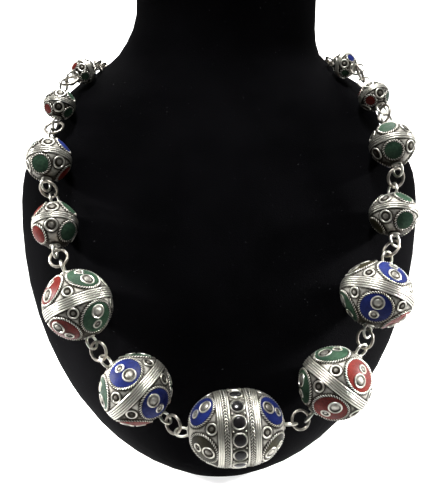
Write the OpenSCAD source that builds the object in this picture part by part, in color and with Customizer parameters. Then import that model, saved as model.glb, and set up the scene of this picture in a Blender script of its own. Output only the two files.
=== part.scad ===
// Enamelled silver bead necklace lying on a plain velvet neck bust.
// World frame: X to the right, Y to the back, Z up, origin in the middle of the flat base, on the floor.
// The bib of the bust leans back, and the necklace is laid out in the bib's own frame: x to the right,
// s up the bib and t out of it towards the viewer. on_bib() carries that frame into the world.

/* [Neck bust] */
// How far the bib leans back from upright, in degrees
bib_lean = 18; // [16:1:20]
// Half of the bib's greatest width
bib_half_w = 103; // [102:0.5:104]
// Height, along the bib, of its greatest width
bib_wide_s = 143.5; // [142:0.5:145]
// How far the chest swells out of the bib plane
chest_bulge = 39; // [38:0.5:40]
// Distance from the front foot to the flat back
bust_depth = 133; // [131:1:136]
// Length of the curve that turns the neck upright
neck_rise = 60; // [56:1:64]

/* [Beads] */
// Height of the raised wires over a bead's skin
relief = 0.6; // [0.5:0.05:0.7]
// Gap under a bead where it rests on the velvet
rest_gap = 0.3; // [0.2:0.05:0.4]
// Wire radius of the rope rims round the enamel discs
rope_r = 0.6; // [0.5:0.05:0.7]
// Wire radius of the plain circles and bands
wire_r = 0.5; // [0.4:0.05:0.55]

/* [Eyes, rings and chain] */
// Radius to the wire's middle of the soldered eyes
eye_r = 3.4; // [3.35:0.05:3.45]
// Wire radius of the eyes
eye_wire = 0.65; // [0.6:0.05:0.7]
// Radius to the wire's middle of the jump rings
ring_r = 4.7; // [4.65:0.05:4.8]
// Wire radius of the jump rings
ring_wire = 0.72; // [0.65:0.01:0.75]
// Radius to the wire's middle of the links behind the neck
link_r = 3.2; // [3.1:0.05:3.3]
// Wire radius of those links
link_wire = 0.55; // [0.5:0.05:0.6]

/* [Hidden] */
$fn = 64;
RAD = 180 / PI;

// Upper part of the bust: height up the bib, half width, how far that widest line lies behind the bib,
// swell of the front from it, fullness of the rounding behind it, how far the middle lies to the right
HALF_W = 1;
SET_BACK = 2;
BULGE = 3;
BACK_ROUND = 4;
ASIDE = 5;
UPPER = [
    [100, 98.2, 0, chest_bulge, 2.0, 0],
    [122, 101.9, 2, 36, 1.9, 0],
    [bib_wide_s, bib_half_w, 3.5, 31.5, 1.8, 0],
    [158, 101.5, 4, 27, 1.7, 0],
    [166, 98, 4, 24, 1.65, 0],
    [172, 92.5, 3.5, 21.5, 1.6, 0],
    [178, 86, 5, 21, 1.55, 0],
    [185, 84, 7, 20.5, 1.5, 0],
    [195, 81.5, 11.5, 22, 1.4, 0],
    [205, 77.5, 25, 33, 1.3, 0],
    [214, 64.5, 29, 35.5, 1.2, 0],
    [222, 54.8, 29, 35, 1.1, 0],
    [231, 50.2, 26, 32, 1, 1.6],
    [242, 48.2, 27, 33, 1, 3.6],
    [265, 48.2, 28, 34, 1, 4]
];
NECK_S = 205;
// Power of the front's swell across a section: 1 is an ellipse, 2 a parabola
SWELL = 1.5;
FOOT_S = 1.5;
FOOT_HALF_W = 9;
// Heights of the bust's sections, closer together where it bends more
SECTIONS = [
    FOOT_S, 4, 8, 13, 20, 28, bust_depth * sin(bib_lean), 48, 58, 70, 84, 100, 115, 130, bib_wide_s, 152, 158,
    163, 168, 173, 178, 183, 189, 196, 202, 208, 213, 218, 223, 229, 236, 244, 254, NECK_S + neck_rise
];
SECTION_SIDES = 56;

// Beads: place on the bib (an unset t rests the bead on the bust), size across and along, heading of
// the axis away from the middle of the necklace, its rise out of the bib, kind, then for the outer and
// the inner half the turn of the first disc and the enamels round it: blue, green, olive and red
NAME = 0;
X = 1;
S = 2;
T = 3;
WIDE = 4;
LONG = 5;
HEADING = 6;
RISE = 7;
KIND = 8;
TURN = 9;
ENAMEL = 10;
BEADS = [
    ["bead_centre", 8.3, 30.9, undef, 38, 48.1, 3.6, -5, "barrel", [-41, -53], ["bogr", "bogr"]],
    ["bead_left_1", -40.6, 49.4, undef, 36.2, 35.6, 136, 4, "large", [17, 14], ["bgrg", "bggr"]],
    ["bead_left_2", -69.5, 90.6, undef, 35.2, 35.2, 111.7, -8, "large", [43, 39], ["gbgr", "gbgr"]],
    ["bead_left_3", -82.4, 130.1, undef, 23.6, 24.8, 94, -26, "middle", [60, 57], ["gbr", "gbr"]],
    ["bead_left_4", -86.4, 163.3, undef, 23.6, 23.6, 86.5, -24, "middle", [60, -20], ["brg", "grb"]],
    ["bead_left_5", -82.6, 192.8, 2.5, 17, 16.6, 80, -17, "small", [60, -55], ["grb", "rgb"]],
    ["bead_left_6", -71.6, 212, -13.5, 13.6, 13.6, 36, -38, "small", [56, 44], ["bgr", "gbr"]],
    ["bead_right_1", 57.2, 52, undef, 37.4, 36.6, 52, 1, "large", [26, 20], ["rbgg", "rbgg"]],
    ["bead_right_2", 78, 95.6, undef, 37.8, 33.6, 73, -15, "large", [15, -2], ["brgo", "brgg"]],
    ["bead_right_3", 87.9, 135.3, undef, 25.6, 22.8, 89.6, -22, "middle", [30, 30], ["gbr", "gbo"]],
    ["bead_right_4", 88.3, 171.2, undef, 24.3, 23.6, 100, -19, "middle", [-12, -8], ["grb", "grb"]],
    ["bead_right_5", 80.4, 197.4, 1, 17, 15.4, 117, -29, "small", [60, -36], ["bgr", "rgb"]],
    ["bead_right_6", 66.6, 215.4, -13.2, 14.2, 13.2, 155.9, -38, "small", [50, 56], ["gbr", "brg"]]
];
// The two ends of a bead: the outer one looks away from the middle of the necklace
OUT = 1;
IN = -1;

// Where the wires and discs lie on each kind of bead, as shares of the angle from the pole to the band:
// middle and reach of the discs, the same for the small circles between them; then the band's wires
DISC_POLAR = 1;
DISC_REACH = 2;
CIRCLE_POLAR = 3;
CIRCLE_REACH = 4;
BAND = 5;
BAND_WIRE = 6;
KINDS = [
    ["barrel", 0.635, 0.348, 0.873, 0.11, [-9.9, -8.9, -7.9, -4.4, 4.4, 7.9, 8.9, 9.9], 0.5],
    ["large", 0.608, 0.357, 0.882, 0.1, [-2.2, -1.1, 0, 1.1, 2.2], 0.5],
    ["middle", 0.64, 0.315, 0.775, 0.18, [-1.1, 0, 1.1], 0.5],
    ["small", 0.645, 0.285, 0.73, 0.225, [-0.8, 0, 0.8], 0.36]
];
BRAID_Z = 6.15;
BRAID_R = 1.1;
STONES = 14;
FIRST_STONE = 11;
COLLET_R = 3.65;
STONE_R = 2.85;

// Jump rings: first bead and its end, second bead and its end, turn of the ring out of the picture plane
FROM = 1;
FROM_END = 2;
TO = 3;
TO_END = 4;
ROLL = 5;
RINGS = [
    ["ring_left_1", 0, IN, 1, IN, 32],
    ["ring_left_2", 1, OUT, 2, IN, 30],
    ["ring_left_3", 2, OUT, 3, IN, 0],
    ["ring_left_4", 3, OUT, 4, IN, 35],
    ["ring_left_5", 4, OUT, 5, IN, 18],
    ["ring_left_6", 5, OUT, 6, IN, 40],
    ["ring_right_1", 0, OUT, 7, IN, 0],
    ["ring_right_2", 7, OUT, 8, IN, 40],
    ["ring_right_3", 8, OUT, 9, IN, 55],
    ["ring_right_4", 9, OUT, 10, IN, -30],
    ["ring_right_5", 10, OUT, 11, IN, 50],
    ["ring_right_6", 11, OUT, 12, IN, 88]
];
LAST_LEFT = 6;
LAST_RIGHT = 12;

// Route of the links round the neck to the clasp behind it: height of a bust section and angle about it
NAPE = [[217, 25], [214, 42], [210, 57], [206.5, 70], [204.5, 80]];
NAPE_GAP = 4.6;
CLASP_S = 204;
CLASP_HALF = 6;

SILVER = [0.72, 0.7, 0.66];

function unit(v) = v / norm(v);
function across(v, axis) = unit(v - axis * (v * axis));

// Smooth reading of a table: a cubic through its rows with the slope of the neighbouring rows
function row_at(table, s, i = 0) =
    i >= len(table) - 2 || s < table[i + 1][0] ? i : row_at(table, s, i + 1);
function row_slope(table, i, column) =
    let (lo = max(i - 1, 0), hi = min(i + 1, len(table) - 1))
    (table[hi][column] - table[lo][column]) / (table[hi][0] - table[lo][0]);
function cubic(a, b, ma, mb, u) =
    a + u * (ma + u * (3 * (b - a) - 2 * ma - mb + u * (2 * (a - b) + ma + mb)));
function eased(table, s, column) =
    let (i = row_at(table, s), gap = table[i + 1][0] - table[i][0])
    cubic(
        table[i][column],
        table[i + 1][column],
        row_slope(table, i, column) * gap,
        row_slope(table, i + 1, column) * gap,
        (s - table[i][0]) / gap
    );

// The bust's outline: an ellipse below the widest place and the table above it
function half_w(s) =
    s < bib_wide_s
    ? max(FOOT_HALF_W, bib_half_w * sqrt(1 - pow((bib_wide_s - max(s, 0)) / bib_wide_s, 2)))
    : eased(UPPER, s, HALF_W);
function set_back(s) = s < 100 ? 0 : eased(UPPER, s, SET_BACK);
function bulge(s) =
    s < 100 ? chest_bulge * sqrt(1 - pow((100 - max(s, 0)) / 104, 2)) : eased(UPPER, s, BULGE);
function back_round(s) = s < 100 ? 4 - s / 50 : eased(UPPER, s, BACK_ROUND);
function aside(s) = s < 100 ? 0 : eased(UPPER, s, ASIDE);
function neck_turn(s) = bib_lean * max(0, s - NECK_S) / neck_rise;
function spine(s) =
    let (turn = neck_turn(s), r = neck_rise / bib_lean * RAD)
    s <= NECK_S ? [s, -set_back(s)] : [NECK_S + r * sin(turn), r * (1 - cos(turn)) - set_back(s)];
function spine_y(s) = spine(s)[0] * sin(bib_lean) - spine(s)[1] * cos(bib_lean);
function back_depth(s) = min(s / tan(bib_lean), (bust_depth - spine_y(s)) / cos(bib_lean - neck_turn(s)));

// One section of the bust: the swollen front, then the rounded sides cut off flat at the back or the floor
function section(s) = [
    for (i = [0:SECTION_SIDES - 1])
        let (
            a = 360 * i / SECTION_SIDES,
            t = a <= 180
                ? bulge(s) * pow(sin(a), SWELL)
                : max(-1, back_round(s) * sin(a)) * back_depth(s),
            turn = neck_turn(s)
        )
        [aside(s) + half_w(s) * cos(a), spine(s)[0] - t * sin(turn), spine(s)[1] + t * cos(turn)]
];

// How far out of the bib a ball of radius r has to lie to rest on the bust
function chest_t(x, s) =
    abs(x) >= half_w(s) ? -1000 : bulge(s) * pow(1 - pow(x / half_w(s), 2), SWELL / 2) - set_back(s);
STEPS = [-0.96:0.12:0.96];
PATCH = [for (i = STEPS, j = STEPS) if (i * i + j * j < 0.97) [i, j, sqrt(1 - i * i - j * j)]];
function rest_t(x, s, r) = max([for (p = PATCH) chest_t(x + r * p[0], s + r * p[1]) + r * p[2]]);

// A bead's place and axis in the bib's frame
function place(b) =
    [b[X], b[S], b[T] == undef ? rest_t(b[X], b[S], b[WIDE] / 2 + rest_gap) : b[T]];
function axis(b) = [cos(b[HEADING]) * cos(b[RISE]), sin(b[HEADING]) * cos(b[RISE]), sin(b[RISE])];
EYE_SINK = 0.5;
function eye_at(i, end) =
    place(BEADS[i]) + axis(BEADS[i]) * end * (BEADS[i][LONG] / 2 - relief + eye_r - EYE_SINK);

// A jump ring hangs in two eyes: its middle, its lie and the turn that it gives the eyes
HOLE = eye_r - eye_wire - ring_wire - 0.12;
RING_PLAY = 0.3;
function ring_start(r) = eye_at(r[FROM], r[FROM_END]);
function ring_span(r) = eye_at(r[TO], r[TO_END]) - ring_start(r);
function ring_middle(r) =
    let (gap = norm(ring_span(r)), slack = ring_r + HOLE - gap / 2, lean = max(0, slack - RING_PLAY))
    ring_start(r) + unit(ring_span(r)) * min(gap / 2 + lean, gap - ring_r + HOLE - 0.15);
function ring_normal(r) =
    let (run = unit(ring_span(r)), face = across([0, 0, 1], run))
    face * cos(r[ROLL]) + cross(face, run) * sin(r[ROLL]);

// The links behind the neck: a smooth route from the last bead's eye to the clasp, and a link at each step
function nape_point(s, a, side) = [
    aside(s) + side * (half_w(s) + NAPE_GAP) * cos(a),
    spine(s)[0],
    spine(s)[1] - min(1, back_round(s) * sin(a)) * (back_depth(s) + NAPE_GAP / cos(bib_lean))
];
function clasp_eye(side) = [side * CLASP_HALF, CLASP_S, nape_point(CLASP_S, 90, side)[2]];
function route_knots(side) = concat(
    [eye_at(side > 0 ? LAST_RIGHT : LAST_LEFT, OUT)],
    [for (p = NAPE) nape_point(p[0], p[1], side)],
    [clasp_eye(side)]
);
function knot_slope(k, i) = (k[min(i + 1, len(k) - 1)] - k[max(i - 1, 0)]) / 2;
function route(side) =
    let (k = route_knots(side))
    [
        for (i = [0:len(k) - 2], u = [0:0.1:0.95])
            cubic(k[i], k[i + 1], knot_slope(k, i), knot_slope(k, i + 1), u),
        k[len(k) - 1]
    ];
function running(p, i = 0, sum = 0) =
    i == len(p) - 1 ? [sum] : concat([sum], running(p, i + 1, sum + norm(p[i + 1] - p[i])));
function point_at(p, lengths, d) = [
    for (c = [0:2]) lookup(d, [for (i = [0:len(p) - 1]) [lengths[i], p[i][c]]])
];
LINK_STEP = 2 * (link_r - link_wire) - 0.2;
LINK_END = link_r + eye_r - eye_wire - link_wire - 0.6;
FIRST_LINK_TWIST = 37;
function links(side) =
    let (
        p = route(side),
        lengths = running(p),
        whole = lengths[len(p) - 1] - 2 * LINK_END,
        count = 1 + 2 * ceil((whole / LINK_STEP - 1) / 2)
    )
    [
        for (i = [0:count])
            let (
                d = LINK_END + whole * i / count,
                middle = point_at(p, lengths, d),
                run = unit(point_at(p, lengths, d + 0.5) - point_at(p, lengths, d - 0.5)),
                face = across(middle - [0, middle[1], -set_back(NECK_S) - 20], run),
                normal = (count - i) % 2 == 0 ? cross(face, run) : face,
                twist = side * FIRST_LINK_TWIST * (1 - i / count)
            )
            [middle, run, normal * cos(twist) + cross(run, normal) * sin(twist)]
    ];
LEFT_LINKS = links(-1);
RIGHT_LINKS = links(1);

// The turn of an eye about its bead: square to the ring or link that hangs in it
function wire_way(normal, run) = cross(normal, run);
function hanging_way(i, end) =
    i == LAST_LEFT && end == OUT ? wire_way(LEFT_LINKS[0][2], LEFT_LINKS[0][1])
    : i == LAST_RIGHT && end == OUT ? wire_way(RIGHT_LINKS[0][2], RIGHT_LINKS[0][1])
    : [
        for (r = RINGS)
            if ((r[FROM] == i && r[FROM_END] == end) || (r[TO] == i && r[TO_END] == end))
                wire_way(ring_normal(r), unit(ring_span(r)))
    ][0];

module on_bib() {
    translate([0, -bust_depth / 2, 0]) rotate([90 - bib_lean, 0, 0]) children();
}

// Places the children with their Z along axis and their X towards face
module along(middle, axis, face) {
    side = cross(axis, face);
    multmatrix([
        [face[0], side[0], axis[0], middle[0]],
        [face[1], side[1], axis[1], middle[1]],
        [face[2], side[2], axis[2], middle[2]],
        [0, 0, 0, 1]
    ]) children();
}

module torus(radius, wire) {
    rotate_extrude() translate([radius, 0]) circle(wire);
}

module neck_bust() {
    rows = [for (s = SECTIONS) section(s)];
    n = SECTION_SIDES;
    last = len(rows) - 1;
    sides = [
        for (k = [0:last - 1], i = [0:n - 1])
            let (a = k * n + i, b = k * n + (i + 1) % n)
            each [[a, a + n, b + n], [a, b + n, b]]
    ];
    ends = [[for (i = [0:n - 1]) i], [for (i = [n - 1:-1:0]) last * n + i]];
    color([0.03, 0.03, 0.035]) on_bib() polyhedron([for (row = rows) each row], concat(sides, ends));
}

// The skin of a bead: two caps of one sphere, drawn apart on a long bead and together on a flat one
function cap_r(b) =
    let (a = b[WIDE] / 2 - relief, c = b[LONG] / 2 - relief)
    c >= a ? a : (a * a + c * c) / (2 * c);
function cap_shift(b) = b[LONG] / 2 - relief - cap_r(b);
function skin_r(b, z) =
    let (h = abs(z) - cap_shift(b))
    cap_shift(b) > 0 && h < 0 ? cap_r(b) : sqrt(cap_r(b) * cap_r(b) - h * h);
function kind(b) = [for (k = KINDS) if (k[NAME] == b[KIND]) k][0];
function discs(b) = len(b[ENAMEL][0]);
function band_angle(b) =
    let (edge = max(kind(b)[BAND]) + kind(b)[BAND_WIRE])
    acos((edge - cap_shift(b)) / cap_r(b));
function share(b, column) = kind(b)[column] * band_angle(b);
function disc_turn(b, end, i) = b[TURN][half_of(end)] + 360 * i / discs(b);
function half_of(end) = end == OUT ? 0 : 1;

module on_bead(b) {
    on_bib() along(place(b), axis(b), across([0, 0, 1], axis(b))) children();
}

module bead_skin(b) {
    shift = cap_shift(b);
    if (shift < -0.01)
        intersection() {
            translate([0, 0, shift]) sphere(cap_r(b));
            translate([0, 0, -shift]) sphere(cap_r(b));
        }
    else if (shift < 0.01)
        sphere(cap_r(b));
    else {
        translate([0, 0, shift]) sphere(cap_r(b));
        translate([0, 0, -shift]) sphere(cap_r(b));
        cylinder(h = 2 * shift + 1.7, r = cap_r(b) + 0.25, center = true);
    }
}

// Places the children on one half of a bead, with their Z straight out of its sphere's middle
module outwards(b, end, polar, turn) {
    translate([0, 0, end * cap_shift(b)]) rotate([0, end == OUT ? polar : 180 - polar, turn]) children();
}

module hoop(b, reach, wire) {
    translate([0, 0, cap_r(b) * cos(reach)]) torus(cap_r(b) * sin(reach), wire);
}

// A low dome of silver inside a small circle
module dome(b, reach) {
    base = cap_r(b) * sin(reach) * 0.75;
    rise = 0.45;
    ball = (base * base + rise * rise) / (2 * rise);
    translate([0, 0, cap_r(b) + rise - ball]) sphere(ball);
}

module bead_wires(b) {
    k = kind(b);
    for (z = k[BAND]) translate([0, 0, z]) torus(skin_r(b, z) + relief - k[BAND_WIRE], k[BAND_WIRE]);
    for (end = [IN, OUT], i = [0:discs(b) - 1]) {
        outwards(b, end, share(b, DISC_POLAR), disc_turn(b, end, i)) hoop(b, share(b, DISC_REACH), rope_r);
        outwards(b, end, share(b, CIRCLE_POLAR), disc_turn(b, end, i + 0.5)) {
            hoop(b, share(b, CIRCLE_REACH), wire_r);
            dome(b, share(b, CIRCLE_REACH));
        }
    }
}

// The row of cups that hold the black stones round the middle of the barrel bead
module collets(b) {
    for (i = [0:STONES - 1])
        rotate([0, 90, FIRST_STONE + 360 * i / STONES])
            translate([0, 0, cap_r(b) - 1])
                difference() {
                    cylinder(h = 1.75, r = COLLET_R);
                    translate([0, 0, 1.1]) cylinder(h = 1, r = STONE_R + 0.15);
                }
}

module eyes(i) {
    b = BEADS[i];
    for (end = [IN, OUT])
        on_bib()
            along(eye_at(i, end), across(hanging_way(i, end), axis(b)), axis(b)) torus(eye_r, eye_wire);
}

module bead(i) {
    b = BEADS[i];
    color(SILVER) {
        on_bead(b) {
            bead_skin(b);
            bead_wires(b);
            for (end = [IN, OUT])
                translate([0, 0, end * (b[LONG] / 2 - relief - 0.3)])
                    cylinder(h = 1.3, r = 1.9, center = true);
            if (b[KIND] == "barrel") {
                collets(b);
                for (z = [-BRAID_Z, BRAID_Z])
                    translate([0, 0, z]) torus(skin_r(b, z) + relief - BRAID_R, BRAID_R);
            }
        }
        eyes(i);
    }
}

// One colour of enamel: a domed disc inside each rope rim that holds it, clear of the silver
module enamel(letter) {
    for (b = BEADS, end = [IN, OUT], i = [0:discs(b) - 1])
        if (b[ENAMEL][half_of(end)][i] == letter)
            on_bead(b)
                outwards(b, end, share(b, DISC_POLAR), disc_turn(b, end, i))
                    enamel_disc(cap_r(b), cap_r(b) * sin(share(b, DISC_REACH)) - rope_r - 0.15);
}

module enamel_disc(skin, radius) {
    rotate_extrude()
        intersection() {
            difference() {
                circle(skin + 0.45);
                circle(skin + 0.12);
            }
            translate([0, skin / 2]) square([radius, skin]);
        }
}

module black_stones() {
    b = BEADS[0];
    dome_r = 7;
    color([0.02, 0.02, 0.02]) on_bead(b)
        for (i = [0:STONES - 1])
            rotate([0, 90, FIRST_STONE + 360 * i / STONES])
                translate([0, 0, cap_r(b) + 0.2])
                    intersection() {
                        cylinder(h = 2, r = STONE_R);
                        translate([0, 0, 0.9 - dome_r]) sphere(dome_r);
                    }
}

module ring(r) {
    color(SILVER) on_bib()
        along(ring_middle(r), ring_normal(r), unit(ring_span(r))) torus(ring_r, ring_wire);
}

module neck_chain(links) {
    color(SILVER) on_bib() for (l = links) along(l[0], l[2], l[1]) torus(link_r, link_wire);
}

// A plain figure-of-eight hook: two eyes on a short bar, one of them open at its side
module hook_clasp() {
    color(SILVER) on_bib() translate([0, CLASP_S, clasp_eye(1)[2]]) rotate([bib_lean, 0, 0]) {
        translate([-CLASP_HALF, 0, 0]) torus(eye_r, eye_wire);
        translate([CLASP_HALF, 0, 0]) rotate([0, 0, 82])
            rotate_extrude(angle = 315) translate([eye_r, 0]) circle(eye_wire);
        rotate([0, 90, 0]) cylinder(h = 2 * (CLASP_HALF - eye_r), r = eye_wire + 0.2, center = true);
    }
}

neck_bust();
for (i = [0:len(BEADS) - 1]) bead(i);
for (r = RINGS) ring(r);
neck_chain(LEFT_LINKS);  // chain_left
neck_chain(RIGHT_LINKS);  // chain_right
hook_clasp();
color([0.1, 0.13, 0.5]) enamel("b");  // enamel_blue
color([0.2, 0.4, 0.28]) enamel("g");  // enamel_green
color([0.25, 0.24, 0.12]) enamel("o");  // enamel_olive
color([0.45, 0.08, 0.06]) enamel("r");  // enamel_red
black_stones();
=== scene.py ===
# %% [markdown]
# # An enamelled silver necklace on a velvet neck bust
#
# Thirteen hollow silver beads hang from one another by soldered eyes and jump rings, and lie on a black
# velvet bust. The frame gives each bead, ring and link its place. This lesson dresses them: rope-edged
# discs of enamel, wire circles with little domes, drawn wire bands, cups of black glass and the velvet.

import math

import bmesh
import bpy
from mathutils import Matrix, Vector
from mathutils.kdtree import KDTree
from mathutils.noise import noise


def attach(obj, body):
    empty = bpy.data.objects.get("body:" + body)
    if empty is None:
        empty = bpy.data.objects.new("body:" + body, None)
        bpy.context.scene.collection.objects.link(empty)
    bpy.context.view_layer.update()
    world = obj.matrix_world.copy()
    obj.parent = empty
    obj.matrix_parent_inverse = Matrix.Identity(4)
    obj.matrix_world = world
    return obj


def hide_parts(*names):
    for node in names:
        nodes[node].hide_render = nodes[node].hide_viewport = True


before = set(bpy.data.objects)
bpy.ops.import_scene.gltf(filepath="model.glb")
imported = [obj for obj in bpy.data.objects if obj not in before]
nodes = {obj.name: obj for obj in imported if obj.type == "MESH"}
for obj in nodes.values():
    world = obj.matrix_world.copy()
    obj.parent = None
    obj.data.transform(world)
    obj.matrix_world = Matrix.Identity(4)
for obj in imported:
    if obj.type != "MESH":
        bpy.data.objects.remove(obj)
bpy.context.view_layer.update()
print("loaded", len(nodes), "nodes")

# %% [markdown]
# The camera comes first, because everything is seen through it. It looks square on to the bib of the
# bust, which leans back by 18 degrees, so it stands 18 degrees above the horizon. A long lens keeps the
# outline nearly flat, as a photograph taken from three quarters of a metre does.

# %% Camera
MM = 0.001
BIB_LEAN = math.radians(18)
BUST_DEPTH = 133 * MM
EYE_DISTANCE = 750 * MM
LOOK_UP_THE_BIB = 117.5 * MM
LENS, SENSOR = 103.8, 36

bib = Matrix.Translation((0, -BUST_DEPTH / 2, 0)) @ Matrix.Rotation(math.pi / 2 - BIB_LEAN, 4, "X")
bib_out = (bib.to_3x3() @ Vector((0, 0, 1))).normalized()

camera = bpy.data.objects.new("Camera", bpy.data.cameras.new("Camera"))
camera.data.lens = LENS
camera.data.sensor_fit = "VERTICAL"
camera.data.sensor_height = SENSOR
camera.location = bib @ Vector((0, LOOK_UP_THE_BIB, EYE_DISTANCE))
camera.rotation_euler = (math.pi / 2 - BIB_LEAN, 0, 0)
bpy.context.collection.objects.link(camera)
bpy.context.scene.camera = camera
print("camera at", [round(v, 3) for v in camera.location])

# %% [markdown]
# Each bead is described by one line: its size across and along, how its axis runs over the bib and rises
# out of it, its kind, and for its outer and inner half the turn of the first disc and the enamels, by
# the first letter of their colours. A ring's line names two beads and which end of each it joins.

# %% The beads
BEADS = [
    ("bead_centre", 38, 48.1, 3.6, -5, "barrel", (-41, -53), ("bogr", "bogr")),
    ("bead_left_1", 36.2, 35.6, 136, 4, "large", (17, 14), ("bgrg", "bggr")),
    ("bead_left_2", 35.2, 35.2, 111.7, -8, "large", (43, 39), ("gbgr", "gbgr")),
    ("bead_left_3", 23.6, 24.8, 94, -26, "middle", (60, 57), ("gbr", "gbr")),
    ("bead_left_4", 23.6, 23.6, 86.5, -24, "middle", (60, -20), ("brg", "grb")),
    ("bead_left_5", 17, 16.6, 80, -17, "small", (60, -55), ("grb", "rgb")),
    ("bead_left_6", 13.6, 13.6, 36, -38, "small", (56, 44), ("bgr", "gbr")),
    ("bead_right_1", 37.4, 36.6, 52, 1, "large", (26, 20), ("rbgg", "rbgg")),
    ("bead_right_2", 37.8, 33.6, 73, -15, "large", (15, -2), ("brgo", "brgg")),
    ("bead_right_3", 25.6, 22.8, 89.6, -22, "middle", (30, 30), ("gbr", "gbo")),
    ("bead_right_4", 24.3, 23.6, 100, -19, "middle", (-12, -8), ("grb", "grb")),
    ("bead_right_5", 17, 15.4, 117, -29, "small", (60, -36), ("bgr", "rgb")),
    ("bead_right_6", 14.2, 13.2, 155.9, -38, "small", (50, 56), ("gbr", "brg")),
]
RINGS = [
    ("ring_left_1", "bead_centre", -1, "bead_left_1", -1),
    ("ring_left_2", "bead_left_1", 1, "bead_left_2", -1),
    ("ring_left_3", "bead_left_2", 1, "bead_left_3", -1),
    ("ring_left_4", "bead_left_3", 1, "bead_left_4", -1),
    ("ring_left_5", "bead_left_4", 1, "bead_left_5", -1),
    ("ring_left_6", "bead_left_5", 1, "bead_left_6", -1),
    ("ring_right_1", "bead_centre", 1, "bead_right_1", -1),
    ("ring_right_2", "bead_right_1", 1, "bead_right_2", -1),
    ("ring_right_3", "bead_right_2", 1, "bead_right_3", -1),
    ("ring_right_4", "bead_right_3", 1, "bead_right_4", -1),
    ("ring_right_5", "bead_right_4", 1, "bead_right_5", -1),
    ("ring_right_6", "bead_right_5", 1, "bead_right_6", -1),
]
RELIEF = 0.6 * MM
ROPE = 0.7 * MM
WIRE = 0.5 * MM
print(len(BEADS), "beads and", len(RINGS), "rings")

# %% [markdown]
# A bead's middle is read off its CAD node: the node is the same all round its axis, so the mean of its
# faces, weighted by their area, is the middle. Its own frame has Z along the axis and X out of the bib.


# %% Places of the beads
def middle_of(name):
    mesh = nodes[name].data
    total = sum(face.area for face in mesh.polygons)
    return sum((face.center * face.area for face in mesh.polygons), Vector()) / total


def square_to(vector, axis):
    """The part of a vector that stands square to an axis, as a unit vector."""
    return (vector - axis * vector.dot(axis)).normalized()


def frame_of(middle, axis, face):
    """A frame at a place, with Z along the axis and X towards the face; the two are square."""
    side = axis.cross(face)
    turn = Matrix((face, side, axis)).transposed().to_4x4()
    return Matrix.Translation(middle) @ turn


class Bead:
    def __init__(self, name, wide, long, heading, rise, kind, turns, enamels):
        self.name, self.kind, self.turns, self.enamels = name, kind, turns, enamels
        heading, rise = math.radians(heading), math.radians(rise)
        along_x = math.cos(heading) * math.cos(rise)
        along_y = math.sin(heading) * math.cos(rise)
        over_bib = Vector((along_x, along_y, math.sin(rise)))
        self.axis = (bib.to_3x3() @ over_bib).normalized()
        self.middle = middle_of(name)
        self.frame = frame_of(self.middle, self.axis, square_to(bib_out, self.axis))
        across, half = wide / 2 * MM - RELIEF, long / 2 * MM - RELIEF
        self.half = half
        self.cap = across if half >= across else (across**2 + half**2) / (2 * half)
        self.shift = half - self.cap

    def skin_at(self, z):
        """The skin's radius at a height along the axis."""
        height = abs(z) - self.shift
        return self.cap if self.shift > 0 and height < 0 else math.sqrt(self.cap**2 - height**2)


beads = {line[0]: Bead(*line) for line in BEADS}
for bead in beads.values():
    print(bead.name, "middle", [round(v / MM, 1) for v in bead.middle])

# %% [markdown]
# Most of the work is wire: round wire bent to a ring, and two wires twisted to a rope. Both are a section
# spun about an axis. The rope's section is not round, and it is turned as it goes round the ring, which
# gives the slanting beads of light that the rims show. Each point also notes how deep it lies in the crease
# between the two strands.


# %% Spinning and twisting
def spun(points, steps, closed=False):
    """A bmesh of the line of (radius, height) points turned about Z."""
    bm = bmesh.new()
    line = [bm.verts.new((radius, 0, height)) for radius, height in points]
    pairs = list(zip(line, line[1:]))
    if closed:
        pairs.append((line[-1], line[0]))
    edges = [bm.edges.new(pair) for pair in pairs]
    bmesh.ops.spin(
        bm, geom=line + edges, cent=(0, 0, 0), axis=(0, 0, 1), angle=math.tau, steps=steps, use_merge=True
    )
    bmesh.ops.remove_doubles(bm, verts=bm.verts, dist=1e-7)
    bmesh.ops.recalc_face_normals(bm, faces=bm.faces)
    return bm


def wire_ring(radius, wire, steps, sides=10, height=0.0):
    """Round wire bent to a ring about Z."""
    section = [
        (radius + wire * math.cos(math.tau * i / sides), height + wire * math.sin(math.tau * i / sides))
        for i in range(sides)
    ]
    return spun(section, steps, closed=True)


ROPE_PITCH = 1.3 * MM
STEPS_A_LOBE = 6
WAIST, SWELL = 0.36, 0.66
CREASE_TARNISH = 1.25


def rope_ring(radius, wire, pitch=ROPE_PITCH, height=0.0, hand=1):
    """Two wires twisted to a rope and bent to a ring about Z, with a lobe at every pitch."""
    turns = max(8, round(math.tau * radius / pitch))
    bm = wire_ring(radius, wire, turns * STEPS_A_LOBE, height=height)
    crease = bm.verts.layers.float.new("crease")
    for vert in bm.verts:
        way = math.atan2(vert.co.y, vert.co.x)
        out = Vector((math.cos(way), math.sin(way), 0))
        middle = out * radius + Vector((0, 0, height))
        spoke = vert.co - middle
        angle = math.atan2(spoke.z, spoke.dot(out)) - hand * way * turns / 2
        fullness = abs(math.cos(angle))
        vert.co = middle + spoke * (WAIST + SWELL * fullness)
        vert[crease] = CREASE_TARNISH * (1 - fullness)
    return bm


print("rope ring of", len(rope_ring(8 * MM, ROPE).faces), "faces")

# %% [markdown]
# A bead is put together in its own frame from many small meshes, and it is one soldered piece in the end.
# A Build collects them. The hollows of old silver are dark and its tops are rubbed bright, so when all is
# together, each point gets a note of how far it stands over the bead's skin: that drives the tarnish.


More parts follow.
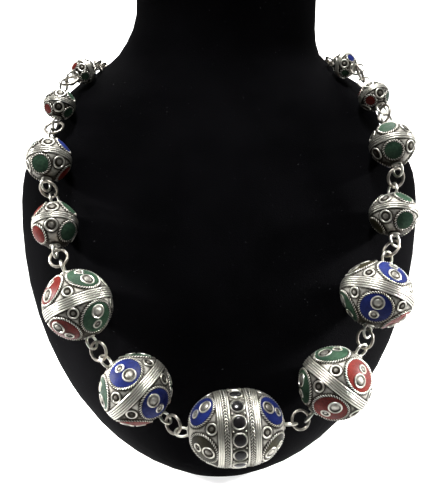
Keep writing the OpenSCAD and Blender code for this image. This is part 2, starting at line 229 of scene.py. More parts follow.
# %% Collecting the parts of a piece
class Build:
    def __init__(self):
        self.bm = bmesh.new()

    def add(self, part, matrix=Matrix()):
        """Takes in a bmesh, moved by a matrix, and frees it."""
        part.transform(matrix)
        mesh = bpy.data.meshes.new("part")
        part.to_mesh(mesh)
        part.free()
        self.bm.from_mesh(mesh)
        bpy.data.meshes.remove(mesh)

    def piece(self, name, angle=40):
        """Makes one object of all that was added, smooth where its faces meet at less than the angle."""
        mesh = bpy.data.meshes.new(name)
        self.bm.to_mesh(mesh)
        self.bm.free()
        obj = bpy.data.objects.new(name, mesh)
        bpy.context.collection.objects.link(obj)
        mesh.shade_smooth()
        mesh.set_sharp_from_angle(angle=math.radians(angle))
        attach(obj, "root")
        return obj


def outwards(bead, end, polar, turn):
    """From the bead's frame to a place on its skin, with Z straight out; angles in degrees."""
    lean = polar if end > 0 else 180 - polar
    to_cap = Matrix.Translation((0, 0, end * bead.shift))
    round_axis = Matrix.Rotation(math.radians(turn), 4, "Z")
    return to_cap @ round_axis @ Matrix.Rotation(math.radians(lean), 4, "Y")


# %% [markdown]
# The kinds of bead differ in where their discs, small circles and band wires lie. The places are shares
# of the angle from the bead's pole to the edge of its band, so that they fit any bead of the kind: first
# the middle of a disc or circle, then its reach. The band's wires lie so many millimetres from the middle.

# %% Kinds of bead
KINDS = {
    "barrel": dict(disc=(0.635, 0.348), circle=(0.873, 0.11), band=(4.4, 7.9, 8.9, 9.9), wire=0.5 * MM),
    "large": dict(disc=(0.608, 0.357), circle=(0.882, 0.1), band=(0, 1.1, 2.2), wire=0.5 * MM),
    "middle": dict(disc=(0.64, 0.315), circle=(0.775, 0.18), band=(0, 1.1), wire=0.5 * MM),
    "small": dict(disc=(0.645, 0.285), circle=(0.73, 0.225), band=(0, 0.8), wire=0.36 * MM),
}


def band_angle(bead):
    kind = KINDS[bead.kind]
    edge = kind["band"][-1] * MM + kind["wire"]
    return math.degrees(math.acos((edge - bead.shift) / bead.cap))


def halves(bead):
    """The two halves of a bead: their end, the turn of the first disc and the enamels."""
    return zip((1, -1), bead.turns, bead.enamels)


def disc_places(bead):
    """Every disc of a bead: its end, the angle from the pole, its turn, its reach and its enamel."""
    polar, reach = (share * band_angle(bead) for share in KINDS[bead.kind]["disc"])
    for end, turn, enamels in halves(bead):
        for i, enamel in enumerate(enamels):
            yield end, polar, turn + 360 * i / len(enamels), reach, enamel


def circle_places(bead):
    """The small circles by the band, half way between the discs."""
    polar, reach = (share * band_angle(bead) for share in KINDS[bead.kind]["circle"])
    for end, turn, enamels in halves(bead):
        for i in range(len(enamels)):
            yield end, polar, turn + 360 * (i + 0.5) / len(enamels), reach


print({name: round(band_angle(beads[name])) for name in ("bead_centre", "bead_left_1", "bead_left_5")})

# %% [markdown]
# The skin of a bead is two raised caps of sheet silver soldered rim to rim. It is spun from an arc, finely
# enough for the tarnish to gather along each wire.


# %% Skin
SKIN_ROWS, WALL_ROWS, SKIN_STEPS = 44, 14, 150


def skin(bead):
    top = math.acos(max(-1.0, -bead.shift / bead.cap)) if bead.shift < 0 else math.pi / 2
    arc = []
    for i in range(SKIN_ROWS + 1):
        angle = top * i / SKIN_ROWS
        arc.append((bead.cap * math.sin(angle), bead.shift + bead.cap * math.cos(angle)))
    arc[0] = (0, arc[0][1])
    if bead.shift > 0:
        wall = [(bead.cap, bead.shift * (1 - 2 * i / WALL_ROWS)) for i in range(1, WALL_ROWS)]
    else:
        wall = []
        arc = arc[:-1] if abs(arc[-1][1]) < 1e-9 else arc
    below = [(radius, -height) for radius, height in reversed(arc)]
    return spun(arc + wall + below, SKIN_STEPS)


print("skin of", len(skin(beads["bead_centre"]).faces), "faces")


# %% [markdown]
# Each disc has a rope rim. On the large beads two wire circles lie inside it, a larger one next to the
# band and a smaller one next to the pole, each with a low silver dome on a plate at its middle. INNER
# gives the radius of each circle and how far towards the band it lies, in millimetres.


# %% Rims, circles and domes
def domed(radius, foot, rise, rows):
    """A quarter of an ellipse as a line of (radius, height) points, from the top down to the rim."""
    line = []
    for i in range(rows + 1):
        angle = math.pi / 2 * i / rows
        line.append((radius * math.sin(angle), foot + rise * math.cos(angle)))
    line[0] = (0, line[0][1])
    return line


DOME_SINK = 0.35 * MM


def dome(bead, radius, rise):
    """A low round dome that rises from the skin, standing on Z in the place's own frame."""
    root = bead.cap - DOME_SINK
    return spun(domed(radius, bead.cap, rise, 6) + [(radius, root), (0, root)], 24)


def dulled(bm, depth):
    """Notes tarnish on a whole part, on top of what its height gives."""
    crease = bm.verts.layers.float.new("crease")
    for vert in bm.verts:
        vert[crease] = depth
    return bm


INNER = {"barrel": ((3.05, 3.4), (2.0, -2.9)), "large": ((3.2, 3.5), (2.15, -3.3))}
INNER_RISE = 0.3 * MM
INNER_WIRE = 0.4 * MM
PLATE_SINK = 0.6 * MM
# share of the circle's radius and rise of the larger and of the smaller dome
DOMES = ((0.62, 0.75 * MM), (0.45, 0.5 * MM))
# tarnish of the plates, disc after disc; the domes on them are a little brighter
RUBBED = (0.7, 0.35, 0.55, 0.8, 0.45)
DOME_BRIGHTER = 0.1


def plate(bead, radius):
    """A thin round plate that fills a circle, bent to the bead."""
    top, root = bead.cap + INNER_RISE, bead.cap - PLATE_SINK
    middle = (radius / 2, math.sqrt(top**2 - radius**2 / 4))
    return spun([(0, top), middle, (radius, math.sqrt(top**2 - radius**2)), (radius, root), (0, root)], 32)


def inner_circle(bead, radius):
    height = math.sqrt(bead.cap**2 - radius**2) + INNER_RISE
    return wire_ring(radius, INNER_WIRE, 40, 8, height)


def dress_discs(build, bead):
    for number, (end, polar, turn, reach, enamel) in enumerate(disc_places(bead)):
        dark = RUBBED[number % len(RUBBED)]
        radius = bead.cap * math.sin(math.radians(reach))
        height = bead.cap * math.cos(math.radians(reach))
        place = outwards(bead, end, polar, turn)
        build.add(rope_ring(radius, ROPE, height=height, hand=end), place)
        for (size, aside), (share, rise) in zip(INNER.get(bead.kind, ()), DOMES):
            ring, offset = size * MM, aside * MM
            spot = outwards(bead, end, polar + math.degrees(offset / bead.cap), turn)
            build.add(inner_circle(bead, ring), spot)
            build.add(dulled(plate(bead, ring), dark), spot)
            build.add(dulled(dome(bead, ring * share, rise), dark - DOME_BRIGHTER), spot)


SMALL_DOME_SHARE = 0.7
SMALL_DOME_RISE = 0.42 * MM
SMALL_DOME_TARNISH = 0.7


def dress_circles(build, bead):
    for end, polar, turn, reach in circle_places(bead):
        radius = bead.cap * math.sin(math.radians(reach))
        height = bead.cap * math.cos(math.radians(reach))
        place = outwards(bead, end, polar, turn)
        build.add(wire_ring(radius, WIRE, 40, height=height), place)
        small_dome = dome(bead, (radius - WIRE) * SMALL_DOME_SHARE, SMALL_DOME_RISE)
        build.add(dulled(small_dome, SMALL_DOME_TARNISH), place)


print(sum(len(list(disc_places(bead))) for bead in beads.values()), "discs to dress")


# %% [markdown]
# The band hides the solder seam under drawn wires laid side by side. The barrel bead has a wide band: plain
# wires, a braid of two ropes twisted opposite ways, and a row of cups for the black stones.

# %% Bands, braids and cups
BRAID_AT = 6.15 * MM
BRAID_STRAND = 0.62 * MM
BRAID_PITCH = 1.6 * MM
STRANDS_APART = 0.93
BRAID_RISE = 0.8


def dress_band(build, bead):
    kind = KINDS[bead.kind]
    for z in kind["band"]:
        for side in (1, -1) if z else (1,):
            at = side * z * MM
            build.add(wire_ring(bead.skin_at(at) + RELIEF - kind["wire"], kind["wire"], 120, height=at))


def dress_braids(build, bead):
    for side in (1, -1):
        for hand in (1, -1):
            at = side * BRAID_AT + hand * BRAID_STRAND * STRANDS_APART
            radius = bead.skin_at(at) + RELIEF - BRAID_STRAND * BRAID_RISE
            build.add(rope_ring(radius, BRAID_STRAND, BRAID_PITCH, at, hand))


CUPS = 14
FIRST_CUP = 11
CUP_BORE, CUP_RADIUS = 2.95 * MM, 3.65 * MM
CUP_RISE, CUP_SINK = 0.62 * MM, 0.9 * MM
CUP_ROUNDING = 0.15 * MM
GRAIN = 0.5 * MM
GRAIN_ASIDE = 3 * MM


def cup_turn(i):
    """Turns Z straight out of the skin at one cup of the row."""
    way = math.radians(FIRST_CUP + 360 * i / CUPS)
    return Matrix.Rotation(way, 4, "Z") @ Matrix.Rotation(math.pi / 2, 4, "Y")


def cup(skin_height):
    """A round cup with a rolled lip, in which a stone sits."""
    low, top = skin_height - CUP_SINK, skin_height + CUP_RISE
    rim, bottom = (CUP_BORE + CUP_RADIUS) / 2, skin_height + 0.15 * MM
    line = [(CUP_RADIUS, low), (CUP_RADIUS, top - CUP_ROUNDING), (CUP_RADIUS - 0.1 * MM, top)]
    line += [(rim, top + 0.12 * MM), (CUP_BORE + 0.1 * MM, top), (CUP_BORE, top - CUP_ROUNDING)]
    line += [(CUP_BORE, bottom), (0, bottom), (0, low)]
    return spun(line, 40, closed=True)


def grain(height):
    bm = bmesh.new()
    bmesh.ops.create_icosphere(bm, subdivisions=2, radius=GRAIN)
    bm.transform(Matrix.Translation((0, 0, height)))
    return bm


def dress_cups(build, bead):
    for i in range(CUPS):
        turn = cup_turn(i)
        build.add(cup(bead.cap), turn)
        between = Matrix.Rotation(math.radians(180 / CUPS), 4, "Z") @ turn
        for side in (1, -1):
            build.add(grain(bead.cap + GRAIN), between @ Matrix.Translation((side * GRAIN_ASIDE, 0, 0)))


print(CUPS, "cups of", len(cup(beads["bead_centre"].cap).faces), "faces")


# %% [markdown]
# At each pole a collar covers the hole of the hollow bead, and an eye of thick wire is soldered on it. The
# eye turns square to the ring that hangs in it, so the ring's place in the frame says how it stands.

# %% Rings and links in the frame
EYE = 3.4 * MM
EYE_WIRE = 0.65 * MM
EYE_SINK = 0.5 * MM


def loops_in(name):
    """The middle and the normal of each wire loop in a CAD node."""
    bm = bmesh.new()
    bm.from_mesh(nodes[name].data)
    bmesh.ops.remove_doubles(bm, verts=bm.verts, dist=1e-6)
    seen = set()
    loops = []
    for start in bm.verts:
        island, waiting = [], [start]
        while waiting:
            vert = waiting.pop()
            if vert not in seen:
                seen.add(vert)
                island.append(vert)
                waiting.extend(link.other_vert(vert) for link in vert.link_edges)
        if not island:
            continue
        middle = sum((vert.co for vert in island), Vector()) / len(island)
        spokes = sorted((vert.co - middle for vert in island), key=lambda spoke: tuple(spoke))
        first = spokes[0].normalized()
        second = max(spokes, key=lambda spoke: spoke.cross(first).length)
        loops.append((middle, loop_normal(spokes, first.cross(second).normalized())))
    bm.free()
    return loops


def loop_normal(spokes, guess):
    """Improves a guessed normal: the normal is the way in which the spokes reach least."""
    rounds, step = 30, 1.6
    for _ in range(rounds):
        push = sum((spoke * spoke.dot(guess) for spoke in spokes), Vector())
        size = sum(spoke.length_squared for spoke in spokes)
        guess = (guess - push / size * step).normalized()
    return guess


ring_loops = {line[0]: loops_in(line[0])[0] for line in RINGS}
chain_loops = {name: loops_in(name) for name in ("chain_left", "chain_right")}
print("links:", {name: len(loops) for name, loops in chain_loops.items()})


# %% Collars and eyes
def eye_middle(bead, end):
    """The middle of the eye at one end of a bead."""
    return bead.middle + bead.axis * end * (bead.half + EYE - EYE_SINK)


def hung_in(bead, end):
    """The normal of the loop in an eye, and the way from this eye to the next."""
    for name, first, first_end, second, second_end in RINGS:
        if (bead.name, end) in ((first, first_end), (second, second_end)):
            run = eye_middle(beads[second], second_end) - eye_middle(beads[first], first_end)
            return ring_loops[name][1], run.normalized()
    loops = chain_loops["chain_left" if "left" in bead.name else "chain_right"]
    start = eye_middle(bead, end)
    nearest = min(loops, key=lambda loop: (loop[0] - start).length)
    return nearest[1], (nearest[0] - start).normalized()


COLLAR = 1.9 * MM
COLLAR_EDGE = 0.15 * MM
COLLAR_RISE, COLLAR_SINK = 0.35 * MM, 0.9 * MM
POLE_RING, POLE_WIRE = 2.35 * MM, 0.42 * MM


def collar(bead):
    """A low round boss with a bevelled edge that covers the hole at a pole."""
    low, top = bead.half - COLLAR_SINK, bead.half + COLLAR_RISE
    edge = COLLAR - COLLAR_EDGE
    return spun([(0, top), (edge, top), (COLLAR, top - COLLAR_EDGE), (COLLAR, low), (0, low)], 32)


def dress_poles(build, bead):
    for end in (1, -1):
        flip = Matrix.Rotation(0 if end > 0 else math.pi, 4, "X")
        build.add(collar(bead), flip)
        height = bead.shift + math.sqrt(bead.cap**2 - POLE_RING**2) + 0.1 * MM
        build.add(wire_ring(POLE_RING, POLE_WIRE, 40, 8, height), flip)
        normal, run = hung_in(bead, end)
        upright = square_to(normal.cross(run), bead.axis)
        eye = wire_ring(EYE, EYE_WIRE, 48, 12)
        place = bead.frame.inverted() @ frame_of(eye_middle(bead, end), upright, bead.axis)
        build.add(eye, place)


print("eyes to solder:", 2 * len(beads))


# %% [markdown]
# Now every bead can be made. When its parts are together, each point gets its tarnish: the wires are dark
# at their feet, and the skin is dark near a wire and brighter out in the open. The undersides also get
# painted shade on top: the more a surface faces down, the darker it is made.


# %% Make the beads
SKIN_TARNISH = 0.4
# painted shade: how much darker a surface is made the more it faces down
UNDER_PAINTED_SHADE = 0.95
DARK_REACH = 0.8 * MM
FOOT_TARNISH = 0.8
CLEANED_BY_HEIGHT = 1.3


def note_tarnish_and_shade(obj, bead, skin_points):
    """Writes each point's tarnish, from 0 on the tops to 1 in the hollows, plus painted shade on the
    undersides.
    """
    mesh = obj.data
    wires = KDTree(len(mesh.vertices) - skin_points)
    for vert in mesh.vertices[skin_points:]:
        wires.insert(vert.co, vert.index)
    wires.balance()
    crease = [point.value for point in mesh.attributes["crease"].data]
    mesh.attributes.remove(mesh.attributes["crease"])
    held = mesh.attributes.new("tarnish", "FLOAT", "POINT")
    turn = bead.frame.to_3x3()
    for vert in mesh.vertices:
        away = abs(vert.co.z) - bead.shift
        over = Vector((vert.co.x, vert.co.y, max(away, 0) if bead.shift > 0 else away)).length - bead.cap
        if vert.index < skin_points:
            near = wires.find(vert.co)[2]
            note = SKIN_TARNISH + (1 - SKIN_TARNISH) * math.exp(-((near / DARK_REACH) ** 2))
        else:
            note = max(0, FOOT_TARNISH - CLEANED_BY_HEIGHT * over / RELIEF) + crease[vert.index]
        # painted shade: darker the more the surface faces down in the world, added to the tarnish
        under = max(0, -(turn @ vert.normal).z) ** 1.5
        held.data[vert.index].value = min(1.0, note + UNDER_PAINTED_SHADE * under)


def make_bead(bead):
    build = Build()
    build.add(skin(bead))
    skin_points = len(build.bm.verts)
    dress_band(build, bead)
    dress_discs(build, bead)
    dress_circles(build, bead)
    if bead.kind == "barrel":
        dress_braids(build, bead)
        dress_cups(build, bead)
    dress_poles(build, bead)
    obj = build.piece("silver_" + bead.name)
    note_tarnish_and_shade(obj, bead, skin_points)
    obj.data.transform(bead.frame)
    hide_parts(bead.name)
    return obj


silver_beads = [make_bead(bead) for bead in beads.values()]
print("faces in the beads:", [len(obj.data.polygons) for obj in silver_beads])

# %% [markdown]
# Enamel is ground glass melted inside the rim. It sinks in the middle as it cools and climbs a little at
# the edge, so each field is a shallow dish that follows the bead's skin. All fields of one colour are one
# piece, as they are in the frame.

# %% Enamel fields
COLOURS = {"b": "blue", "g": "green", "o": "olive", "r": "red"}
UNDER_THE_ROPE = 0.75
FIELD_ROWS = 8
FIELD_RISE, EDGE_CLIMB = 0.2, 0.22
EDGE_SINK, MIDDLE_SINK = 0.25 * MM, 0.9 * MM


def enamel_field(bead, reach):
    radius = bead.cap * math.sin(math.radians(reach)) - ROPE * UNDER_THE_ROPE
    line = []
    for i in range(FIELD_ROWS + 1):
        out = radius * i / FIELD_ROWS
        height = (FIELD_RISE + EDGE_CLIMB * (i / FIELD_ROWS) ** 5) * MM
        line.append((out, math.sqrt((bead.cap + height) ** 2 - out**2)))
    low = math.sqrt((bead.cap - EDGE_SINK) ** 2 - radius**2)
    return spun(line + [(radius, low), (0, bead.cap - MIDDLE_SINK)], 48)


enamels = {}
for letter, colour in COLOURS.items():
    build = Build()
    for bead in beads.values():
        for end, polar, turn, reach, enamel in disc_places(bead):
            if enamel == letter:
                build.add(enamel_field(bead, reach), bead.frame @ outwards(bead, end, polar, turn))
    enamels[colour] = build.piece("enamel_fields_" + colour)
    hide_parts("enamel_" + colour)
    print(colour, len(enamels[colour].data.polygons), "faces")

# %% [markdown]
# The black stones are glass cabochons: a low dome with a girdle that the cup's lip holds.


# %% Black stones
STONE = 2.85 * MM
STONE_RISE = 0.8 * MM
GIRDLE = 0.2 * MM
STONE_FOOT_SHARE = 0.96


def stone(skin_height):
    """A cabochon on Z, whose foot stands a little over the skin in its cup."""
    foot = skin_height + 0.2 * MM
    line = domed(STONE, foot + GIRDLE, STONE_RISE, 8)
    return spun(line + [(STONE * STONE_FOOT_SHARE, foot), (0, foot)], 40)


build = Build()
barrel = beads["bead_centre"]
for i in range(CUPS):
    build.add(stone(barrel.cap), barrel.frame @ cup_turn(i))
stones = build.piece("glass_stones")
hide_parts("black_stones")
print(CUPS, "stones of", len(stones.data.polygons), "faces")

# %% [markdown]
# A jump ring is a coil of wire cut to single turns and closed with pliers. Its two ends meet in a fine
# seam, and it is never quite round. The links behind the neck are made in the same way.

# %% Jump rings and links
RING = 4.7 * MM
RING_WIRE = 0.72 * MM
LINK = 3.2 * MM
LINK_WIRE = 0.55 * MM
SEAM_WIDTH = 0.16 * MM
OUT_OF_ROUND = 0.008
# a ring's own X is turned towards this way, which is no ring's normal
FACE = Vector((0.3, 0.2, 1))
# where the first seam lies and how far each next one is turned on, in radians
RING_SEAM, RING_SEAM_STEP = 0.9, 2.1
LINK_SEAM, LINK_SEAM_STEP = 0.4, 2.3


def jump_ring(radius, wire, seam):
    """A turn of round wire, slightly out of round, whose two ends leave a fine seam."""
    bm = bmesh.new()
    bmesh.ops.create_circle(bm, cap_ends=True, segments=14, radius=wire)
    bm.transform(Matrix.Translation((radius, 0, 0)) @ Matrix.Rotation(math.pi / 2, 4, "X"))
    gap = SEAM_WIDTH / radius
    bmesh.ops.rotate(bm, verts=bm.verts, cent=(0, 0, 0), matrix=Matrix.Rotation(seam + gap / 2, 3, "Z"))
    start = list(bm.faces)
    bmesh.ops.spin(
        bm, geom=start, cent=(0, 0, 0), axis=(0, 0, 1), angle=math.tau - gap, steps=72, use_duplicate=False
    )
    bmesh.ops.remove_doubles(bm, verts=bm.verts, dist=1e-7)
    bmesh.ops.recalc_face_normals(bm, faces=bm.faces)
    for vert in bm.verts:
        way = math.atan2(vert.co.y, vert.co.x)
        vert.co *= 1 + OUT_OF_ROUND * math.sin(2 * way + seam)
    return bm


CLOUD_DEPTH, CLOUDS_A_METRE = 0.35, 400
WIRE_TARNISH = 0.3


def note_wear(obj, depth):
    """Plain wire has little tarnish, in clouds."""
    held = obj.data.attributes.new("tarnish", "FLOAT", "POINT")
    for vert in obj.data.vertices:
        cloud = CLOUD_DEPTH * noise(vert.co * CLOUDS_A_METRE)
        held.data[vert.index].value = max(0.0, min(1.0, depth + cloud))


def wire_piece(name, loops, radius, wire, first_seam, seam_step):
    """One piece of rings that lie as the loops of its CAD node do, each with its seam elsewhere."""
    build = Build()
    for number, (middle, normal) in enumerate(loops):
        ring = jump_ring(radius, wire, first_seam + seam_step * number)
        build.add(ring, frame_of(middle, normal, square_to(FACE, normal)))
    obj = build.piece("wire_" + name)
    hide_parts(name)
    return obj


loose_wire = []
for number, (name, loop) in enumerate(ring_loops.items()):
    seam = RING_SEAM + RING_SEAM_STEP * number
    loose_wire.append(wire_piece(name, [loop], RING, RING_WIRE, seam, 0))
for name, loops in chain_loops.items():
    loose_wire.append(wire_piece(name, loops, LINK, LINK_WIRE, LINK_SEAM, LINK_SEAM_STEP))
for obj in loose_wire:
    note_wear(obj, WIRE_TARNISH)
print(len(loose_wire), "pieces of ring and chain")

# %% [markdown]
# The clasp is out of sight behind the neck: two eyes of wire on a short bar, one of them left open as a
# hook. A copy of its CAD mesh already has that form, so the copy only needs its doubles merged.


# %% Clasp
def copy_of(node_name, name):
    bm = bmesh.new()
    bm.from_mesh(nodes[node_name].data)
    bmesh.ops.remove_doubles(bm, verts=bm.verts, dist=1e-6)
    build = Build()
    build.add(bm)
    obj = build.piece(name, angle=35)
    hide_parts(node_name)
    return obj


clasp = copy_of("hook_clasp", "wire_hook_clasp")
note_wear(clasp, WIRE_TARNISH + 0.05)
print("clasp of", len(clasp.data.polygons), "faces")

# %% [markdown]
# The bust is a moulded shell under stretched velvet. Its CAD mesh has the right form but hard edges round
# the foot and the cut neck, where velvet is folded over. The copy's loose triangles are joined to quads,
# its hard edges are bevelled, and smooth shading rounds the rest.


# %% Velvet bust
FLAT_WITHIN = math.radians(0.2)
HARD_FROM = math.radians(38)
FOLD = 1.2 * MM


def velvet_bust():
    bm = bmesh.new()
    bm.from_mesh(nodes["neck_bust"].data)
    bmesh.ops.remove_doubles(bm, verts=bm.verts, dist=1e-5)
    bmesh.ops.join_triangles(
        bm, faces=bm.faces, angle_face_threshold=math.radians(25), angle_shape_threshold=math.radians(70)
    )
    bmesh.ops.dissolve_limit(bm, angle_limit=FLAT_WITHIN, verts=bm.verts, edges=bm.edges)
    hard = [edge for edge in bm.edges if edge.is_manifold and edge.calc_face_angle() > HARD_FROM]
    bmesh.ops.bevel(
        bm,
        geom=hard,
        offset=FOLD,
        offset_type="OFFSET",
        segments=3,
        profile=0.5,
        affect="EDGES",
        clamp_overlap=True,
        material=-1,
    )
    bmesh.ops.recalc_face_normals(bm, faces=bm.faces)
    build = Build()
    build.add(bm)
    return build.piece("velvet_bust", angle=60)


bust = velvet_bust()
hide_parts("neck_bust")
print("bust of", len(bust.data.polygons), "faces")

# %% [markdown]
# Materials next. Shader maths reads best as ordinary Python, so a small class wraps a socket: adding or
# multiplying two of them adds a Math node, and node() adds any other node from its type, its settings and
# its sockets.


# %% Shader expressions
class Flow:
    def __init__(self, tree, socket=None):
        self.tree, self.socket = tree, socket

    def node(self, kind, settings=None, sockets=None, out=0):
        made = self.tree.nodes.new(kind)
        for name, value in (settings or {}).items():
            setattr(made, name, value)
        for key, value in (sockets or {}).items():
            if isinstance(value, Flow):
                self.tree.links.new(value.socket, made.inputs[key])
            else:
                made.inputs[key].default_value = value
        return Flow(self.tree, made.outputs[out])

    def maths(self, operation, first, second):
        return self.node("ShaderNodeMath", {"operation": operation}, {0: first, 1: second})

    def __add__(self, other):
        return self.maths("ADD", self, other)

    def __radd__(self, other):
        return self.maths("ADD", other, self)

    def __sub__(self, other):
        return self.maths("SUBTRACT", self, other)

    def __rsub__(self, other):
        return self.maths("SUBTRACT", other, self)

    def __mul__(self, other):
        return self.maths("MULTIPLY", self, other)

    def __rmul__(self, other):
        return self.maths("MULTIPLY", other, self)

    def ramp(self, low, high):
        """0 below low, 1 above high, and a smooth step between."""
        settings = {"interpolation_type": "SMOOTHSTEP"}
        return self.node("ShaderNodeMapRange", settings, {"Value": self, "From Min": low, "From Max": high})

    def blend(self, low, high):
        """Mixes two colours by this value."""
        settings = {"data_type": "RGBA"}
        return self.node("ShaderNodeMix", settings, {0: self, 6: low, 7: high}, out=2)

    def noise(self, scale, detail=3, roughness=0.55):
        where = self.node("ShaderNodeTexCoord", out=3)
        sockets = {"Vector": where, "Scale": scale, "Detail": detail, "Roughness": roughness}
        return self.node("ShaderNodeTexNoise", {}, sockets)

    def bump(self, height, distance, strength):
        sockets = {"Height": height, "Distance": distance, "Strength": strength}
        return self.node("ShaderNodeBump", {}, sockets)


def material(name, constants):
    """A new material: its expression helper and its shader with the constants set on its own sockets."""
    made = bpy.data.materials.new(name)
    made.use_nodes = True
    shader = made.node_tree.nodes["Principled BSDF"]
    for socket, value in constants.items():
        shader.inputs[socket].default_value = value
    return made, Flow(made.node_tree), shader


def feed(flow, shader, **sockets):
    """Links expressions to the shader's sockets, named with _ for a space."""
    for name, value in sockets.items():
        flow.tree.links.new(value.socket, shader.inputs[name.replace("_", " ")])


print("shader helper ready")

# %% [markdown]
# Old silver: bright and slightly warm where hands rub it, brown black in the hollows, with fine scratches
# and a softly hammered skin. The tarnish note of each point is broken up by noise, or it would look
# airbrushed. The same note carries painted shade, which darkens the undersides of the beads.


# %% Silver
def silver(name, bright, dark):
    made, flow, shader = material(name, {"Metallic": 1.0, "Specular IOR Level": 0.5})
    note = flow.node("ShaderNodeAttribute", {"attribute_name": "tarnish"}, out=2)
    grime = flow.noise(900, 4)
    patches = flow.noise(160, 2)
    # this mix holds real tarnish and painted shade on the undersides of the beads
    tarnish = (note + (grime - 0.5) * 0.4 + (patches - 0.5) * 0.5).ramp(0.1, 1.0)
    scratches = flow.noise(2600, 2)
    roughness = 0.32 + 0.14 * patches + 0.3 * tarnish
    height = scratches * 0.3 + patches * 1.0
    feed(
        flow,
        shader,
        Base_Color=tarnish.blend((*bright, 1), (*dark, 1)),
        Roughness=roughness,
        Normal=flow.bump(height, 0.00006, 0.6),
    )
    return made


# the beads' silver gets painted shade on its undersides through the tarnish note
bead_silver = silver("worn_silver_with_painted_shade", (0.66, 0.64, 0.57), (0.03, 0.025, 0.018))
wire_silver = silver("drawn_silver_wire", (0.4, 0.37, 0.32), (0.04, 0.034, 0.027))
for obj in silver_beads:
    obj.data.materials.append(bead_silver)
for obj in loose_wire + [clasp]:
    obj.data.materials.append(wire_silver)
print("silver on", len(silver_beads), "beads and", len(loose_wire) + 1, "pieces of wire")

# %% [markdown]
# Enamel is glass with metal oxides in it. Its colour drifts from a deep to a light tone, inside a field and
# from field to field, and tiny pits and clouds dull its gloss, as on old work that has been worn.


# %% Enamel
def enamel(name, deep, light):
    made, flow, shader = material(name, {"Specular IOR Level": 0.09})
    drift = flow.noise(70, 2)
    clouds = flow.noise(700, 4)
    pits = flow.noise(3200, 2).ramp(0.62, 0.72)
    tone = (drift * 0.7 + clouds * 0.5 - 0.1).ramp(0.25, 0.75)
    colour = pits.blend(tone.blend((*deep, 1), (*light, 1)), (0.02, 0.02, 0.02, 1))
    feed(
        flow,
        shader,
        Base_Color=colour,
        Roughness=0.34 + 0.15 * clouds + 0.2 * pits,
        Normal=flow.bump(clouds - 0.6 * pits, 0.00008, 0.5),
    )
    return made


ENAMELS = {
    "blue": ((0.007, 0.012, 0.075), (0.018, 0.032, 0.18)),
    "green": ((0.014, 0.034, 0.021), (0.048, 0.1, 0.058)),
    "olive": ((0.016, 0.014, 0.007), (0.045, 0.04, 0.02)),
    "red": ((0.06, 0.006, 0.004), (0.19, 0.02, 0.013)),
}
for colour, (deep, light) in ENAMELS.items():
    enamels[colour].data.materials.append(enamel(colour + "_enamel", deep, light))
print("enamels:", sorted(enamels))

# %% [markdown]
# Black glass: almost no colour of its own, a sharp gloss, and a few faint scratches.

# %% Black glass
made, flow, shader = material("black_glass", {"Specular IOR Level": 0.25})
smears = flow.noise(500, 3)
feed(
    flow,
    shader,
    Base_Color=smears.blend((0.004, 0.004, 0.005, 1), (0.02, 0.018, 0.018, 1)),
    Roughness=0.1 + 0.16 * smears,
    Normal=flow.bump(smears, 0.00004, 0.4),
)
stones.data.materials.append(made)

# %% [markdown]
# Black velvet swallows light. What shows is the sheen of its short pile where the surface turns away, the
# pile's uneven lie in soft patches, and a few specks of dust.

# %% Black velvet
made, flow, shader = material(
    "black_velvet", {"Specular IOR Level": 0.02, "Sheen Weight": 0.01, "Sheen Roughness": 0.4}
)
lie = flow.noise(28, 3)
pile = flow.noise(1500, 3, 0.7)
dust = flow.noise(1150, 1).ramp(0.775, 0.815)
shade = (lie * 0.6 + pile * 0.4).ramp(0.3, 0.7)
cloth = shade.blend((0.0004, 0.0004, 0.0006, 1), (0.0022, 0.0021, 0.0026, 1))
feed(
    flow,
    shader,
    Base_Color=dust.blend(cloth, (0.08, 0.08, 0.085, 1)),
    Roughness=0.85 + 0.15 * pile,
    Normal=flow.bump(pile + lie * 0.5, 0.0004, 0.5),
)
bust.data.materials.append(made)

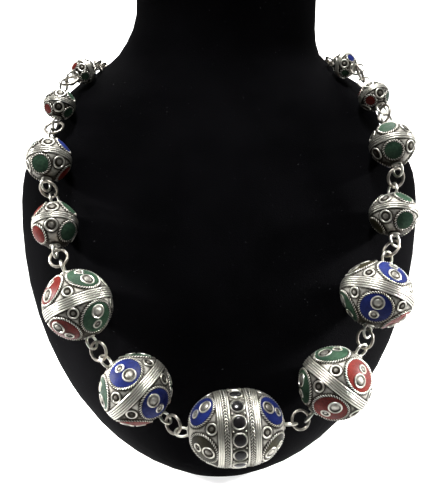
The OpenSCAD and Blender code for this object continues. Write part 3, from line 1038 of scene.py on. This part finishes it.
# %% [markdown]
# The stage is a pale floor that runs far back, a soft light from high above in front and a dim even sky.
# The floor has lights of its own, as in a studio: one far behind and one low on each side. So the ground
# is pale right up to the bust, while the undersides of the beads stay dark. Floor and sky also glow, but
# only for the camera: the first output of a Light Path node is 1 for its rays and 0 for all others, so
# the ground looks pale from every side and lends the silver no light.

# %% Floor and light
FLOOR_HALF = 12
FLOOR = {"Base Color": (0.5, 0.5, 0.5, 1), "Roughness": 0.8, "Emission Strength": 0.8}
SKY = (0.9, 0.93, 1.0, 1)
SKY_LIGHTS, SKY_SEEN = 0.05, 0.85

floor_mesh = bpy.data.meshes.new("floor")
bm = bmesh.new()
bmesh.ops.create_grid(bm, x_segments=1, y_segments=1, size=FLOOR_HALF)
bm.to_mesh(floor_mesh)
bm.free()
floor = bpy.data.objects.new("floor", floor_mesh)
bpy.context.collection.objects.link(floor)
made, flow, shader = material("pale_floor", FLOOR)
feed(flow, shader, Emission_Color=flow.node("ShaderNodeLightPath"))
floor.data.materials.append(made)


def soft_light(name, place, target, size, power, spread):
    """A square lamp of a size in metres and a power in watts, that shines within a spread in degrees."""
    lamp = bpy.data.lights.new(name, "AREA")
    lamp.size = size
    lamp.spread = math.radians(spread)
    lamp.energy = power
    obj = bpy.data.objects.new(name, lamp)
    obj.location = place
    obj.rotation_euler = (Vector(target) - Vector(place)).to_track_quat("-Z", "Y").to_euler()
    bpy.context.collection.objects.link(obj)


soft_light("key", (-0.05, -0.17, 1.2), (0, -0.02, 0.12), 0.32, 0.64, 18)
soft_light("ground", (0, 1.15, 1.1), (0, 1.15, 0), 1.2, 52, 120)
for side in (1, -1):
    soft_light("ground_side", (side * 0.75, 0.13, 0.26), (side * 0.1, 0.01, 0), 0.2, 1.4, 20)
world = bpy.data.worlds.new("sky")
world.use_nodes = True
flow = Flow(world.node_tree)
lighting = flow.node("ShaderNodeBackground", {}, {"Color": SKY, "Strength": SKY_LIGHTS})
seen = flow.node("ShaderNodeBackground", {}, {"Color": SKY, "Strength": SKY_SEEN})
sky = flow.node("ShaderNodeMixShader", {}, {0: flow.node("ShaderNodeLightPath"), 1: lighting, 2: seen})
world.node_tree.links.new(sky.socket, world.node_tree.nodes["World Output"].inputs["Surface"])
bpy.context.scene.world = world
bpy.context.scene.view_settings.view_transform = "Standard"
